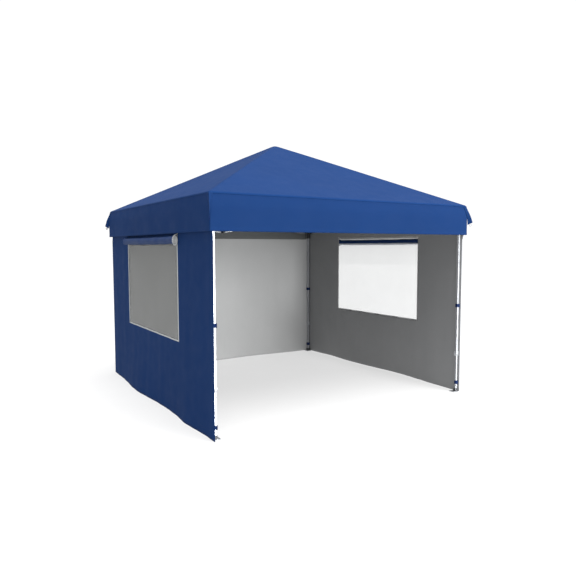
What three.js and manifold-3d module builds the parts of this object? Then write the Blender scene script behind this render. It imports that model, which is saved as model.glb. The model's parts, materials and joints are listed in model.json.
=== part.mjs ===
// Pop-up canopy, 3 m by 3 m, with a pyramid roof, a deep valance and three side walls.
// Units are millimetres and +Z is up. The origin is on the ground under the middle of the roof, and the
// open front faces -Y. The four sides of the frame are alike: each is drawn once, as for the front, and
// turned about Z. Side 0 is the front, and a leg has the number of the side whose left end it is at.
import * as THREE from 'three';
import { mergeVertices } from 'three/addons/utils/BufferGeometryUtils.js';
import Module from 'manifold-3d';

const wasm = await Module();
wasm.setup();

// ---- driving dimensions ----
const EAVE_HALF = 1500; // middle of the roof to the eave
const EAVE_Z = 2035;
const PEAK_Z = 2760;
const VALANCE_LOW_Z = 1720;
const FABRIC = 1.2;
const SEAM_GAP = 0.5; // between sheets that meet at a seam
const DART_OUT = 48; // how far along X and Y a corner dart of the valance stands out
const DART_BACK = 30; // and reaches this far back along each side at its top
const DART_LOW_Z = 1828;
const DART_TIP_Z = 1852;
const DART_HIGH_Z = 2022;
const DART_ROOT = 0.6; // how deep a dart starts inside the cloth

const LEG_AT = 1450; // middle of the roof to a leg's centre line
const LEG_HALF = 13; // square outer tube
const INNER_HALF = 10.5; // square inner tube
const TUBE_WALL = 1.2;
const LEG_LOW_Z = 400; // lower end of the outer tube
const INNER_HIGH_Z = 1100; // upper end of the inner tube, inside the outer one

const BAR_WIDTH = 25;
const BAR_THICK = 12;
const BAR_CURVE = 3; // steps in each quarter of a bar's round end
const BAR_LAYER = 6.5; // a truss has two layers of bars, this far each side of its middle plane
const PIVOT_OFFSET = 70; // a leg's centre line to the pivots beside it
const HUB_PIVOT = 38; // middle of a hub to its pivots
const TOP_PIVOT_Z = 1995;
const LOW_PIVOT_Z = 1800;
const PIN_R = 4;
const HOLE_R = 4.6;
const HEAD_R = 7;
const HEAD_TALL = 3;
const PIN_SIDES = 8;

const EAR_THICK = 6;
const EAR_REACH = 13; // round a pivot, along and across
const BRACKET_HALF = 20;
const BRACKET_Z = [1945, 2036];
const CAP_WALL = 8;
const SLEEVE_HALF = 21;
const SLEEVE_BORE = 13.6;
const SLEEVE_Z = [1722, 1818];
const COLLAR_HALF = 17;
const COLLAR_Z = [LEG_LOW_Z, LEG_LOW_Z + 50];
const PLATE_Y = [13.2, 17.2]; // middle bracket's plate, inwards from the truss plane

const FOOT_HALF = 18;
const FOOT_HIGH_Z = 40;
const PLATE_THICK = 5;
const PLATE_REACH = [-20, 50]; // outwards and inwards from the leg's centre line

const LOCK_BORE_R = 5.4;
const LOCK_SHANK_R = 4.5;
const LOCK_HEAD_R = 8;
const LOCK_HEAD_X = [22, 30];
const LOCK_SIDES = 8;
const SLIDER_LOCK_Z = 1745;
const LEG_LOCK_Z = 425;

const HUB_HALF = 21;
const HUB_TALL = 15; // above and below its pivots
const POLE_R = 12.5;
const POLE_BORE_R = 13.6;
const POLE_SIDES = 12;
const POLE_LOW_Z = LOW_PIVOT_Z + HUB_TALL + 0.5;
const CUP_R = 18;
const CUP_TALL = 10;
const CAP_R = 45;
const CAP_LOW_Z = 2694;
const CAP_EDGE_Z = 2722;
const CAP_TOP_Z = 2743;

const WALL_AT = 1474; // middle of the roof to a wall's inner face
const SIDE_WALL_HALF = 1497; // the left and right walls reach out to the valance
const BACK_WALL_HALF = 1468; // the back wall hangs between them
const WALL_Z = [4, 2015];
const WALL_COLUMNS = 14;
const WALL_ROWS = 6;
const WAVE = 50; // how far the hem swings outwards
const WAVE_HIGH_Z = 670; // the waves die out at this height, below the windows
const WINDOW_X = [-818, 715]; // along the side, seen from outside
const WINDOW_Z = [730, 1630];
const PANE = 0.6;
const ROLL_R = 33;
const ROLL_X = [-845, 745];
const ROLL_Z = 1655;
const ROLL_BITE = 0.8; // how deep the rolled flap is sunk in the wall
const ROLL_SIDES = 12;

// ---- worked out from those ----
const BAR_RUN = LEG_AT - PIVOT_OFFSET;
const BAR_RISE = TOP_PIVOT_Z - LOW_PIVOT_Z;
const BAR_LENGTH = Math.hypot(BAR_RUN, BAR_RISE);
const BAR_ANGLE = Math.atan2(BAR_RISE, BAR_RUN);
const MIDDLE_Z = (TOP_PIVOT_Z + LOW_PIVOT_Z) / 2;
const MID_PIVOT = PIVOT_OFFSET - HUB_PIVOT; // inwards from the truss plane
const HEAD_AT = BAR_LAYER + BAR_THICK / 2 + 0.5; // truss plane to the near face of a pin's head
const EAR = [BAR_LAYER - EAR_THICK, BAR_LAYER]; // an ear stands in the layer that its bar leaves free
const ROOF_SLOPE = (PEAK_Z - EAVE_Z) / EAVE_HALF;
const ROOF_THICK = FABRIC * Math.hypot(1, ROOF_SLOPE); // measured straight down

const SIDES = ['front', 'right', 'back', 'left'];
const CORNERS = ['front_left', 'front_right', 'back_right', 'back_left'];

function finish(color, roughness, metalness) {
  return new THREE.MeshStandardMaterial({ color, roughness, metalness });
}

const LEG_STEEL = finish(0xd9dcdf, 0.38, 0.5);
const BAR_STEEL = finish(0xc9ccd0, 0.42, 0.5);
const PLASTIC = finish(0x3f4247, 0.6, 0);
const LOCK_PLASTIC = finish(0x8f2326, 0.45, 0);
const ROOF_FABRIC = finish(0x2c4f93, 0.8, 0);
const WALL_FABRIC = finish(0x22397a, 0.8, 0);

const X = new THREE.Vector3(1, 0, 0);
const Y = new THREE.Vector3(0, 1, 0);
const Z = new THREE.Vector3(0, 0, 1);
const MINUS_X = new THREE.Vector3(-1, 0, 0);
const MINUS_Y = new THREE.Vector3(0, -1, 0);

// ---- solids, joins and cuts ----
function solid(geometry) {
  const plain = geometry.clone();
  plain.deleteAttribute('normal');
  plain.deleteAttribute('uv');
  const merged = mergeVertices(plain, 1e-4);
  const vertProperties = new Float32Array(merged.attributes.position.array);
  const triVerts = new Uint32Array(merged.index.array);
  return new wasm.Manifold(new wasm.Mesh({ numProp: 3, vertProperties, triVerts }));
}

function boxShape([x0, x1], [y0, y1], [z0, z1]) {
  const geometry = new THREE.BoxGeometry(x1 - x0, y1 - y0, z1 - z0);
  return geometry.translate((x0 + x1) / 2, (y0 + y1) / 2, (z0 + z1) / 2);
}

function box(alongX, alongY, alongZ) {
  return solid(boxShape(alongX, alongY, alongZ));
}

function squarePost(half, height) {
  return box([-half, half], [-half, half], height);
}

// A turned piece. The profile is a list of [radius, distance along the axis from the start].
function turnedShape(profile, sides, start, direction) {
  const points = profile.map(([radius, along]) => new THREE.Vector2(radius, along));
  const geometry = new THREE.LatheGeometry(points, sides);
  geometry.applyQuaternion(new THREE.Quaternion().setFromUnitVectors(Y, direction));
  return geometry.translate(...start);
}

function rod(radius, length, sides, start, direction) {
  return solid(turnedShape([[0, 0], [radius, 0], [radius, length], [0, length]], sides, start, direction));
}

// A riveted pin, with its head past the far side of the bar that turns on it.
function pinShape(shank, start, direction) {
  const end = shank + HEAD_TALL;
  const profile = [[0, 0], [PIN_R, 0], [PIN_R, shank], [HEAD_R, shank], [HEAD_R - 2, end], [0, end]];
  return turnedShape(profile, PIN_SIDES, start, direction);
}

function pin(shank, start, direction) {
  return solid(pinShape(shank, start, direction));
}

// ---- placing ----
function piece(name, body, material) {
  const { vertProperties, triVerts } = body.getMesh();
  const geometry = new THREE.BufferGeometry();
  geometry.setAttribute('position', new THREE.BufferAttribute(vertProperties, 3));
  geometry.setIndex(new THREE.BufferAttribute(triVerts, 1));
  geometry.computeVertexNormals();
  const mesh = new THREE.Mesh(geometry, material);
  mesh.name = name;
  return mesh;
}

function placed(mesh, x, y, z, turnY, turnZ = 0) {
  mesh.position.set(x, y, z);
  mesh.rotation.set(0, turnY, turnZ, 'ZYX');
  return mesh;
}

// ---- bars ----
// A hollow bar with rounded ends lies along +X from its first pivot, its width along Z and its thickness
// along Y. Holes and pins are at shares of its length, and pinWay says which side the pins come out of.
function barBody(length, holes, pins, pinWay) {
  const radius = BAR_WIDTH / 2;
  const outline = new THREE.Shape();
  outline.absarc(length, 0, radius, -Math.PI / 2, Math.PI / 2, false);
  outline.absarc(0, 0, radius, Math.PI / 2, 1.5 * Math.PI, false);
  const settings = { depth: BAR_THICK, bevelEnabled: false, curveSegments: BAR_CURVE };
  const outside = new THREE.ExtrudeGeometry(outline, settings);
  outside.rotateX(Math.PI / 2);
  outside.translate(0, BAR_THICK / 2, 0);
  const bore = [TUBE_WALL - BAR_THICK / 2, BAR_THICK / 2 - TUBE_WALL];
  const tall = [TUBE_WALL - radius, radius - TUBE_WALL];
  let body = solid(outside).subtract(box([0, length], bore, tall));
  for (const share of holes) {
    body = body.subtract(rod(HOLE_R, 2 * BAR_THICK, PIN_SIDES, [share * length, -BAR_THICK, 0], Y));
  }
  const shank = BAR_THICK / 2 + BAR_LAYER + HEAD_AT;
  for (const share of pins) {
    const start = [share * length, (-pinWay * BAR_THICK) / 2, 0];
    body = body.add(pin(shank, start, pinWay > 0 ? Y : MINUS_Y));
  }
  return body;
}

const OUTER_BAR = barBody(BAR_LENGTH, [0, 0.5, 1], [], 1);
const LEFT_INNER_BAR = barBody(BAR_LENGTH, [0], [0.5, 1], -1);
const RIGHT_INNER_BAR = barBody(BAR_LENGTH, [0, 1], [0.5], -1);
const ROOF_BAR = barBody(BAR_LENGTH, [0, 1], [0.5], 1);
const STRUT = barBody(BAR_LENGTH / 2, [0, 1], [], 1);

// Two crossed pairs of bars fill one side. They share a rivet at the middle of the top.
function sideBars(side) {
  const leftX = -BAR_RUN;
  const outer = -LEG_AT - BAR_LAYER;
  const inner = -LEG_AT + BAR_LAYER;
  const mesh = (name, body) => piece(`${side}_bar_${name}`, body, BAR_STEEL);
  return [
    placed(mesh('left_falling', OUTER_BAR), leftX, outer, TOP_PIVOT_Z, BAR_ANGLE),
    placed(mesh('left_rising', LEFT_INNER_BAR), leftX, inner, LOW_PIVOT_Z, -BAR_ANGLE),
    placed(mesh('right_rising', RIGHT_INNER_BAR), 0, inner, LOW_PIVOT_Z, -BAR_ANGLE),
    placed(mesh('right_falling', OUTER_BAR), 0, outer, TOP_PIVOT_Z, BAR_ANGLE),
  ];
}

// A long bar runs from the top hub out to the middle of a side, and a strut from its middle back to the
// lower hub.
function roofBars(side) {
  const bar = piece(`roof_bar_${side}`, ROOF_BAR, BAR_STEEL);
  const strut = piece(`strut_${side}`, STRUT, BAR_STEEL);
  return [
    placed(bar, -BAR_LAYER, -HUB_PIVOT, TOP_PIVOT_Z, BAR_ANGLE, -Math.PI / 2),
    placed(strut, BAR_LAYER, -HUB_PIVOT - BAR_RUN / 2, MIDDLE_Z, BAR_ANGLE, Math.PI / 2),
  ];
}

// The bracket at the middle of a side's lower edge: a plate with one pin for both side bars, and an ear
// that carries the roof bar.
function middleBracket(side) {
  const height = [LOW_PIVOT_Z - EAR_REACH, LOW_PIVOT_Z + EAR_REACH];
  const plate = box([-EAR_REACH, EAR_REACH], PLATE_Y, height);
  const ear = box(EAR, [PLATE_Y[1] - 1, MID_PIVOT + EAR_REACH], height);
  const sidePin = pin(PLATE_Y[1] + HEAD_AT, [0, PLATE_Y[1], LOW_PIVOT_Z], MINUS_Y);
  const roofPin = pin(BAR_LAYER + HEAD_AT, [BAR_LAYER, MID_PIVOT, LOW_PIVOT_Z], MINUS_X);
  const mesh = piece(`middle_bracket_${side}`, plate.add(ear).add(sidePin).add(roofPin), PLASTIC);
  mesh.position.y = -LEG_AT;
  return mesh;
}

// ---- hubs and the peak pole ----
// A square block with four ears and pins round it. Way is 1 where the front ear is on its bar's +X side.
function hubBlock(pivotZ, way) {
  const across = way > 0 ? EAR : [-EAR[1], -EAR[0]];
  const out = [-HUB_PIVOT - EAR_REACH, 1 - HUB_HALF];
  const start = [way * BAR_LAYER, -HUB_PIVOT, pivotZ];
  let body = squarePost(HUB_HALF, [pivotZ - HUB_TALL, pivotZ + HUB_TALL]);
  for (let side = 0; side < SIDES.length; side += 1) {
    const turn = (side * Math.PI) / 2;
    const ear = boxShape(across, out, [pivotZ - EAR_REACH, pivotZ + EAR_REACH]).rotateZ(turn);
    const earPin = pinShape(BAR_LAYER + HEAD_AT, start, way > 0 ? MINUS_X : X).rotateZ(turn);
    body = body.add(solid(ear)).add(solid(earPin));
  }
  return body;
}

function topHub() {
  const bore = rod(POLE_BORE_R, 4 * HUB_TALL, POLE_SIDES, [0, 0, TOP_PIVOT_Z - 2 * HUB_TALL], Z);
  return piece('hub_top', hubBlock(TOP_PIVOT_Z, 1).subtract(bore), PLASTIC);
}

function bottomHub() {
  const topZ = LOW_PIVOT_Z + HUB_TALL;
  const cup = rod(CUP_R, CUP_TALL + 1, POLE_SIDES, [0, 0, topZ - 1], Z);
  const bore = rod(POLE_BORE_R, CUP_TALL + 1, POLE_SIDES, [0, 0, topZ], Z);
  return piece('hub_bottom', hubBlock(LOW_PIVOT_Z, -1).add(cup).subtract(bore), PLASTIC);
}

function peakPole() {
  const bore = POLE_R - TUBE_WALL;
  const profile = [
    [0, CAP_LOW_Z], [bore, CAP_LOW_Z], [bore, POLE_LOW_Z], [POLE_R, POLE_LOW_Z], [POLE_R, CAP_LOW_Z],
    [CAP_R, CAP_LOW_Z], [CAP_R, CAP_EDGE_Z], [CAP_R / 2, CAP_TOP_Z - 5], [0, CAP_TOP_Z],
  ];
  return piece('peak_pole', solid(turnedShape(profile, POLE_SIDES, [0, 0, 0], Z)), LEG_STEEL);
}

// ---- legs, drawn round their own centre line ----
// The two pivots beside a leg: one along the side that starts here, one along the side that ends here.
function legEars(pivotZ, from, way) {
  const along = [from - 1, PIVOT_OFFSET + EAR_REACH];
  const height = [pivotZ - EAR_REACH, pivotZ + EAR_REACH];
  const near = EAR;
  const far = [-EAR[1], -EAR[0]];
  const shank = BAR_LAYER + HEAD_AT;
  const startEar = box(along, way > 0 ? near : far, height);
  const startPin = pin(shank, [PIVOT_OFFSET, way * BAR_LAYER, pivotZ], way > 0 ? MINUS_Y : Y);
  const endEar = box(way > 0 ? far : near, along, height);
  const endPin = pin(shank, [-way * BAR_LAYER, PIVOT_OFFSET, pivotZ], way > 0 ? X : MINUS_X);
  return startEar.add(startPin).add(endEar).add(endPin);
}

function lockBore(height) {
  return rod(LOCK_BORE_R, SLEEVE_HALF + 10, LOCK_SIDES, [0, 0, height], X);
}

function outerLeg(corner) {
  const tube = squarePost(LEG_HALF, [LEG_LOW_Z, BRACKET_Z[1] - 1]);
  const bracket = squarePost(BRACKET_HALF, BRACKET_Z);
  const collar = squarePost(COLLAR_HALF, COLLAR_Z);
  const bore = squarePost(LEG_HALF - TUBE_WALL, [LEG_LOW_Z - 1, BRACKET_Z[1] - CAP_WALL]);
  const whole = tube.add(bracket).add(collar).add(legEars(TOP_PIVOT_Z, BRACKET_HALF, 1));
  return piece(`outer_leg_${corner}`, whole.subtract(bore).subtract(lockBore(LEG_LOCK_Z)), LEG_STEEL);
}

function innerLeg(corner) {
  const bore = squarePost(INNER_HALF - TUBE_WALL, [FOOT_HIGH_Z, INNER_HIGH_Z + 1]);
  const tube = squarePost(INNER_HALF, [1, INNER_HIGH_Z]).subtract(bore);
  const seat = squarePost(INNER_HALF - 1, [1, FOOT_HIGH_Z + 1]);
  const socket = squarePost(FOOT_HALF, [0, FOOT_HIGH_Z]).subtract(seat);
  const plate = box(PLATE_REACH, PLATE_REACH, [0, PLATE_THICK]);
  return piece(`inner_leg_${corner}`, tube.add(socket).add(plate), LEG_STEEL);
}

function slider(corner) {
  const sleeve = squarePost(SLEEVE_HALF, SLEEVE_Z).add(legEars(LOW_PIVOT_Z, SLEEVE_HALF, -1));
  const bore = squarePost(SLEEVE_BORE, [SLEEVE_Z[0] - 1, SLEEVE_Z[1] + 1]);
  return piece(`slider_${corner}`, sleeve.subtract(bore).subtract(lockBore(SLIDER_LOCK_Z)), PLASTIC);
}

// A sprung pull pin. Its tip stops just clear of the tube that it locks.
function lockPin(name, tipX, height) {
  const [headX, endX] = LOCK_HEAD_X;
  const profile = [
    [0, 0], [LOCK_SHANK_R, 0], [LOCK_SHANK_R, headX - tipX],
    [LOCK_HEAD_R, headX - tipX], [LOCK_HEAD_R, endX - tipX], [0, endX - tipX],
  ];
  return piece(name, solid(turnedShape(profile, LOCK_SIDES, [tipX, 0, height], X)), LOCK_PLASTIC);
}

function cornerAssembly(corner) {
  const group = new THREE.Group();
  group.add(outerLeg(corner), innerLeg(corner), slider(corner));
  group.add(lockPin(`slider_lock_${corner}`, LEG_HALF + 0.8, SLIDER_LOCK_Z));
  group.add(lockPin(`leg_lock_${corner}`, INNER_HALF + 0.7, LEG_LOCK_Z));
  group.position.set(-LEG_AT, -LEG_AT, 0);
  return group;
}

// ---- fabric ----
// One of the roof's four triangles, a sheet that slopes up from the eave to the peak.
function roofPanel(side) {
  const triangle = new THREE.Shape([
    new THREE.Vector2(SEAM_GAP - EAVE_HALF, -EAVE_HALF),
    new THREE.Vector2(EAVE_HALF - SEAM_GAP, -EAVE_HALF),
    new THREE.Vector2(0, -SEAM_GAP),
  ]);
  const sheet = new THREE.ExtrudeGeometry(triangle, { depth: ROOF_THICK, bevelEnabled: false });
  const spots = sheet.attributes.position;
  for (let i = 0; i < spots.count; i += 1) {
    const rise = (EAVE_HALF + spots.getY(i)) * ROOF_SLOPE;
    spots.setZ(i, spots.getZ(i) + EAVE_Z - ROOF_THICK + rise);
  }
  return piece(`roof_${side}`, solid(sheet), ROOF_FABRIC);
}

function wedge(points) {
  const [a, b, c, d] = points.map((point) => new THREE.Vector3(...point));
  const volume = b.clone().sub(a).cross(c.clone().sub(a)).dot(d.clone().sub(a));
  const outwards = [0, 2, 1, 0, 1, 3, 1, 2, 3, 2, 0, 3];
  const geometry = new THREE.BufferGeometry();
  geometry.setAttribute('position', new THREE.Float32BufferAttribute(points.flat(), 3));
  geometry.setIndex(volume > 0 ? outwards : outwards.toReversed());
  return solid(geometry);
}

// Both halves of the darts at one end of the sides that meet at a corner. One lies on the side along X, and
// the other is its twin across the diagonal, on the side along Y. The tip is given for the one along X.
function dartHalves(rootX, backX, tip) {
  const face = DART_ROOT - EAVE_HALF;
  const points = [
    [backX, face, DART_HIGH_Z],
    [rootX, face, DART_HIGH_Z],
    [rootX, face, DART_LOW_Z],
    [...tip, DART_TIP_Z],
  ];
  return wedge(points).add(wedge(points.map(([x, y, z]) => [y, x, z])));
}

// Half of the valance: the two sides that meet at one corner. It has that corner's dart, and at each far end
// one half of the next corner's.
function valanceHalf(corner) {
  const outside = [-EAVE_HALF, FABRIC - EAVE_HALF];
  const along = [-EAVE_HALF, EAVE_HALF - FABRIC - SEAM_GAP];
  const height = [VALANCE_LOW_Z, EAVE_Z - ROOF_THICK - SEAM_GAP];
  const tip = EAVE_HALF + DART_OUT;
  const nearDart = dartHalves(DART_ROOT - EAVE_HALF, DART_BACK - EAVE_HALF, [-tip, -tip]);
  const farTip = [tip - SEAM_GAP / 2, -tip - SEAM_GAP / 2];
  const farDarts = dartHalves(along[1] - DART_ROOT, EAVE_HALF - DART_BACK, farTip);
  const sides = box(along, outside, height).add(box(outside, along, height));
  return piece(`valance_${corner}`, sides.add(nearDart).add(farDarts), ROOF_FABRIC);
}

// How far the wall hangs outwards: two soft folds that grow towards the hem.
function wallWave(x, z) {
  const drop = Math.max(0, (WAVE_HIGH_Z - z) / WAVE_HIGH_Z);
  const broadFold = Math.exp(-(((x + 470) / 480) ** 2));
  const narrowFold = 0.5 * Math.exp(-(((x - 930) / 230) ** 2));
  return WAVE * drop * drop * (broadFold + narrowFold);
}

// The wall's cloth is a grid of points on its inner face and one on its outer face. Both faces are split
// along the same diagonals, so they keep the cloth's thickness between them.
function wallSheet(half) {
  const positions = [];
  for (const depth of [0, FABRIC]) {
    for (let row = 0; row <= WALL_ROWS; row += 1) {
      const z = WALL_Z[0] + ((WALL_Z[1] - WALL_Z[0]) * row) / WALL_ROWS;
      for (let column = 0; column <= WALL_COLUMNS; column += 1) {
        const x = half * ((2 * column) / WALL_COLUMNS - 1);
        positions.push(x, -WALL_AT - depth - wallWave(x, z), z);
      }
    }
  }
  const perFace = (WALL_COLUMNS + 1) * (WALL_ROWS + 1);
  const inner = (row, column) => row * (WALL_COLUMNS + 1) + column;
  const outer = (row, column) => perFace + inner(row, column);
  const triangles = [];
  for (let row = 0; row < WALL_ROWS; row += 1) {
    for (let column = 0; column < WALL_COLUMNS; column += 1) {
      const corners = [[row, column], [row, column + 1], [row + 1, column + 1], [row + 1, column]];
      const [a, b, c, d] = corners.map((corner) => outer(...corner));
      const [e, f, g, h] = corners.map((corner) => inner(...corner));
      triangles.push(a, b, c, a, c, d, e, g, f, e, h, g);
    }
  }
  for (let column = 0; column < WALL_COLUMNS; column += 1) {
    triangles.push(...rim(inner(0, column), inner(0, column + 1), perFace));
    triangles.push(...rim(inner(WALL_ROWS, column + 1), inner(WALL_ROWS, column), perFace));
  }
  for (let row = 0; row < WALL_ROWS; row += 1) {
    triangles.push(...rim(inner(row, WALL_COLUMNS), inner(row + 1, WALL_COLUMNS), perFace));
    triangles.push(...rim(inner(row + 1, 0), inner(row, 0), perFace));
  }
  const geometry = new THREE.BufferGeometry();
  geometry.setAttribute('position', new THREE.Float32BufferAttribute(positions, 3));
  geometry.setIndex(triangles);
  return geometry;
}

// Closes the edge between two neighbouring points of the inner face and the same points of the outer one.
function rim(from, to, perFace) {
  return [from + perFace, from, to, from + perFace, to, to + perFace];
}

function sideWall(side, hasWindow) {
  let body = solid(wallSheet(hasWindow ? SIDE_WALL_HALF : BACK_WALL_HALF));
  if (hasWindow) {
    const recess = box(WINDOW_X, [-WALL_AT - 2 * FABRIC, -WALL_AT - PANE], WINDOW_Z);
    const rollY = -WALL_AT - FABRIC - ROLL_R + ROLL_BITE;
    const roll = rod(ROLL_R, ROLL_X[1] - ROLL_X[0], ROLL_SIDES, [ROLL_X[0], rollY, ROLL_Z], X);
    body = body.subtract(recess).add(roll);
  }
  return piece(`wall_${side}`, body, WALL_FABRIC);
}

// ---- the whole canopy ----
const canopy = new THREE.Group();
canopy.add(topHub(), bottomHub(), peakPole());
SIDES.forEach((side, number) => {
  const quarter = new THREE.Group();
  quarter.rotation.z = (number * Math.PI) / 2;
  quarter.add(...sideBars(side), ...roofBars(side), middleBracket(side));
  quarter.add(cornerAssembly(CORNERS[number]), roofPanel(side));
  if (number % 2 === 0) {
    quarter.add(valanceHalf(CORNERS[number]));
  }
  if (side !== 'front') {
    quarter.add(sideWall(side, side !== 'back'));
  }
  canopy.add(quarter);
});

export default canopy;
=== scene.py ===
"""Pop-up canopy: the visible pieces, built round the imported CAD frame. Metres, +Z up, open front towards -Y.
Side 0 is the front. A piece is made for the front and turned about Z by a quarter for each further side."""
import json
import math

import bmesh
import bpy
import numpy as np
from mathutils import Matrix, Vector


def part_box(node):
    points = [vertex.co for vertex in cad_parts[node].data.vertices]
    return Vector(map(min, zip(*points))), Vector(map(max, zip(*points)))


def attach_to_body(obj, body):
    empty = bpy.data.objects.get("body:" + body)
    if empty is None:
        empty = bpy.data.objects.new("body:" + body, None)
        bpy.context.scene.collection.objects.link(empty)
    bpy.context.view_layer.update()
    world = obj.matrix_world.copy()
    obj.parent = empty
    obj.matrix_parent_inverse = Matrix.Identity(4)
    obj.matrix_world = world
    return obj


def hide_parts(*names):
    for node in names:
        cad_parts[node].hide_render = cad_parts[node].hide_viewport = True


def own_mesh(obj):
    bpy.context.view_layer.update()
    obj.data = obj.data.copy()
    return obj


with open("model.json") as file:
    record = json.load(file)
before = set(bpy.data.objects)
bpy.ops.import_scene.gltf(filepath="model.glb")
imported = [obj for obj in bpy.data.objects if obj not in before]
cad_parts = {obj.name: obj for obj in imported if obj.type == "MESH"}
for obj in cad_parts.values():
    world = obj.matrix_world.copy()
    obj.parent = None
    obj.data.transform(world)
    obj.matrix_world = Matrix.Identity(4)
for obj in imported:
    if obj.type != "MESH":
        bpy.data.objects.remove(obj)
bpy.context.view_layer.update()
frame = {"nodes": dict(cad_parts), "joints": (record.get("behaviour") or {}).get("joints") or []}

SIDES = ["front", "right", "back", "left"]
CORNERS = ["front_left", "front_right", "back_right", "back_left"]
JOINT = {j["name"]: j for j in frame["joints"]}

# ---- sizes that come from the frame ----
EAVE = -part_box("roof_front")[0].y
ROOF_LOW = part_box("roof_front")[0].z
PEAK_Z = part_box("roof_front")[1].z
SLOPE = (PEAK_Z - ROOF_LOW) / EAVE
EAVE_Z = ROOF_LOW + 0.0013  # the roof's outer face at the eave
VALANCE_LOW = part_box("valance_front_left")[0].z
LEG = -JOINT["fold_outer_leg_front_left"]["pos_m"][1]
WALL_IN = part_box("wall_right")[0].x
WALL_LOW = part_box("wall_left")[0].z
WALL_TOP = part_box("wall_left")[1].z
SIDE_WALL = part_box("wall_left")[1].y
BACK_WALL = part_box("wall_back")[1].x

# ---- sizes that repeat the CAD's or that only the visible pieces have ----
TUBE = 0.013  # half the outer leg tube's width
INNER = 0.0105  # half the inner leg tube's width
FABRIC = 0.0012
WINDOW_X = (-0.818, 0.715)
WINDOW_Z = (0.730, 1.700)
PANE_TOP = 1.642
ROLL_X = (-0.845, 0.745)
ROLL_Z = 1.655
ROLL_R = 0.033
STRAP_Z = {"high": 0.955, "low": 0.105}


# ---- small helpers ----
def turn(side):
    """The rotation that takes a piece made for the front to its own side."""
    return np.array(Matrix.Rotation(side * math.pi / 2, 3, "Z"))


def smoothstep(t):
    t = np.clip(t, 0, 1)
    return t * t * (3 - 2 * t)


def link(name, mesh):
    obj = bpy.data.objects.new(name, mesh)
    bpy.context.scene.collection.objects.link(obj)
    return obj


def build(name, verts, faces, mats, face_mats=None, uv=None, smooth=True, side=0):
    """A mesh object from points and faces, turned to its side. uv holds one pair for each point."""
    points = np.asarray(verts, float) @ turn(side).T
    mesh = bpy.data.meshes.new(name)
    mesh.from_pydata(points.tolist(), [], [list(map(int, f)) for f in faces])
    for m in mats:
        mesh.materials.append(m)
    if face_mats is not None:
        mesh.polygons.foreach_set("material_index", np.asarray(face_mats, np.int32))
    mesh.polygons.foreach_set("use_smooth", np.full(len(mesh.polygons), smooth))
    if uv is not None:
        layer = mesh.uv_layers.new(name="UVMap")
        loops = np.zeros(len(mesh.loops), np.int32)
        mesh.loops.foreach_get("vertex_index", loops)
        layer.data.foreach_set("uv", np.asarray(uv, np.float32)[loops].ravel())
    mesh.validate()
    mesh.update()
    return link(name, mesh)


def grid_normals(p):
    """Unit normals of a grid of points, rows by columns: along the columns crossed with up the rows."""
    across = np.gradient(p, axis=1)
    up = np.gradient(p, axis=0)
    n = np.cross(across, up)
    length = np.linalg.norm(n, axis=2, keepdims=True)
    return n / np.maximum(length, 1e-12)


def thick_sheet(name, p, mats, thickness=FABRIC, side=0, hole=None, extra=None, mirror=False, rim=0):
    """A closed sheet of cloth. p is the outer face, rows from the bottom up and columns from left to right as
    seen from outside. mats are the outer face's and the inner one's. hole(row, column) leaves out a cell.
    extra is added on the outside. With mirror, u is measured from the nearer end of each row. rim is the
    material of the cut edges."""
    rows, cols = p.shape[:2]
    n = grid_normals(p)
    thick = np.full((rows, cols, 1), thickness) if extra is None else thickness + extra[..., None]
    outer = p + (n * extra[..., None] if extra is not None else 0)
    inner = outer - n * thick
    verts = np.vstack([outer.reshape(-1, 3), inner.reshape(-1, 3)])
    steps_along = np.linalg.norm(np.diff(p, axis=1), axis=2)
    steps_up = np.linalg.norm(np.diff(p, axis=0), axis=2)
    u = np.concatenate([np.zeros((rows, 1)), np.cumsum(steps_along, axis=1)], axis=1)
    v = np.concatenate([np.zeros((1, cols)), np.cumsum(steps_up, axis=0)], axis=0)
    if mirror:
        u = np.minimum(u, u[:, -1:] - u)
    uv = np.tile(np.stack([u, v], axis=2).reshape(-1, 2), (2, 1))
    base = rows * cols
    kept = {(r, c) for r in range(rows - 1) for c in range(cols - 1) if hole is None or not hole(r, c)}
    faces, which = [], []
    for r, c in sorted(kept):
        a = r * cols + c
        b, d, e = a + 1, a + cols + 1, a + cols
        faces += [(a, b, d, e), (a + base, e + base, d + base, b + base)]
        which += [0, 1]
        neighbours = ((r - 1, c), (r, c + 1), (r + 1, c), (r, c - 1))
        for neighbour, (f, g) in zip(neighbours, ((a, b), (b, d), (d, e), (e, a))):
            if neighbour not in kept:
                faces.append((g, f, f + base, g + base))
                which.append(rim)
    obj = build(name, verts, faces, mats, which, uv, True, side)
    drop_loose(obj)
    return obj


def drop_loose(obj):
    """Deletes the points that no face uses."""
    bm = bmesh.new()
    bm.from_mesh(obj.data)
    loose = [v for v in bm.verts if not v.link_faces]
    bmesh.ops.delete(bm, geom=loose, context="VERTS")
    bm.to_mesh(obj.data)
    bm.free()


def tube_rings(name, rings, mats, side=0, smooth=True):
    """A skin over rings of equal numbers of points, closed with one face at each end."""
    rings = np.asarray(rings, float)
    count, per = rings.shape[:2]
    faces = []
    for r in range(count - 1):
        for k in range(per):
            a, b = r * per + k, r * per + (k + 1) % per
            faces.append((a, b, b + per, a + per))
    faces.append(tuple(range(per - 1, -1, -1)))
    faces.append(tuple(range((count - 1) * per, count * per)))
    return build(name, rings.reshape(-1, 3), faces, mats, smooth=smooth, side=side)


def rounded_square(half_x, half_y, radius, steps=4, cx=0.0, cy=0.0):
    """Points of a rectangle with round corners, counterclockwise seen from +Z."""
    pts = []
    for quarter, (sx, sy) in enumerate(((1, 1), (-1, 1), (-1, -1), (1, -1))):
        for k in range(steps + 1):
            a = math.pi / 2 * (quarter + k / steps)
            pts.append((cx + sx * (half_x - radius) + radius * math.cos(a),
                        cy + sy * (half_y - radius) + radius * math.sin(a)))
    return pts


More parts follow.
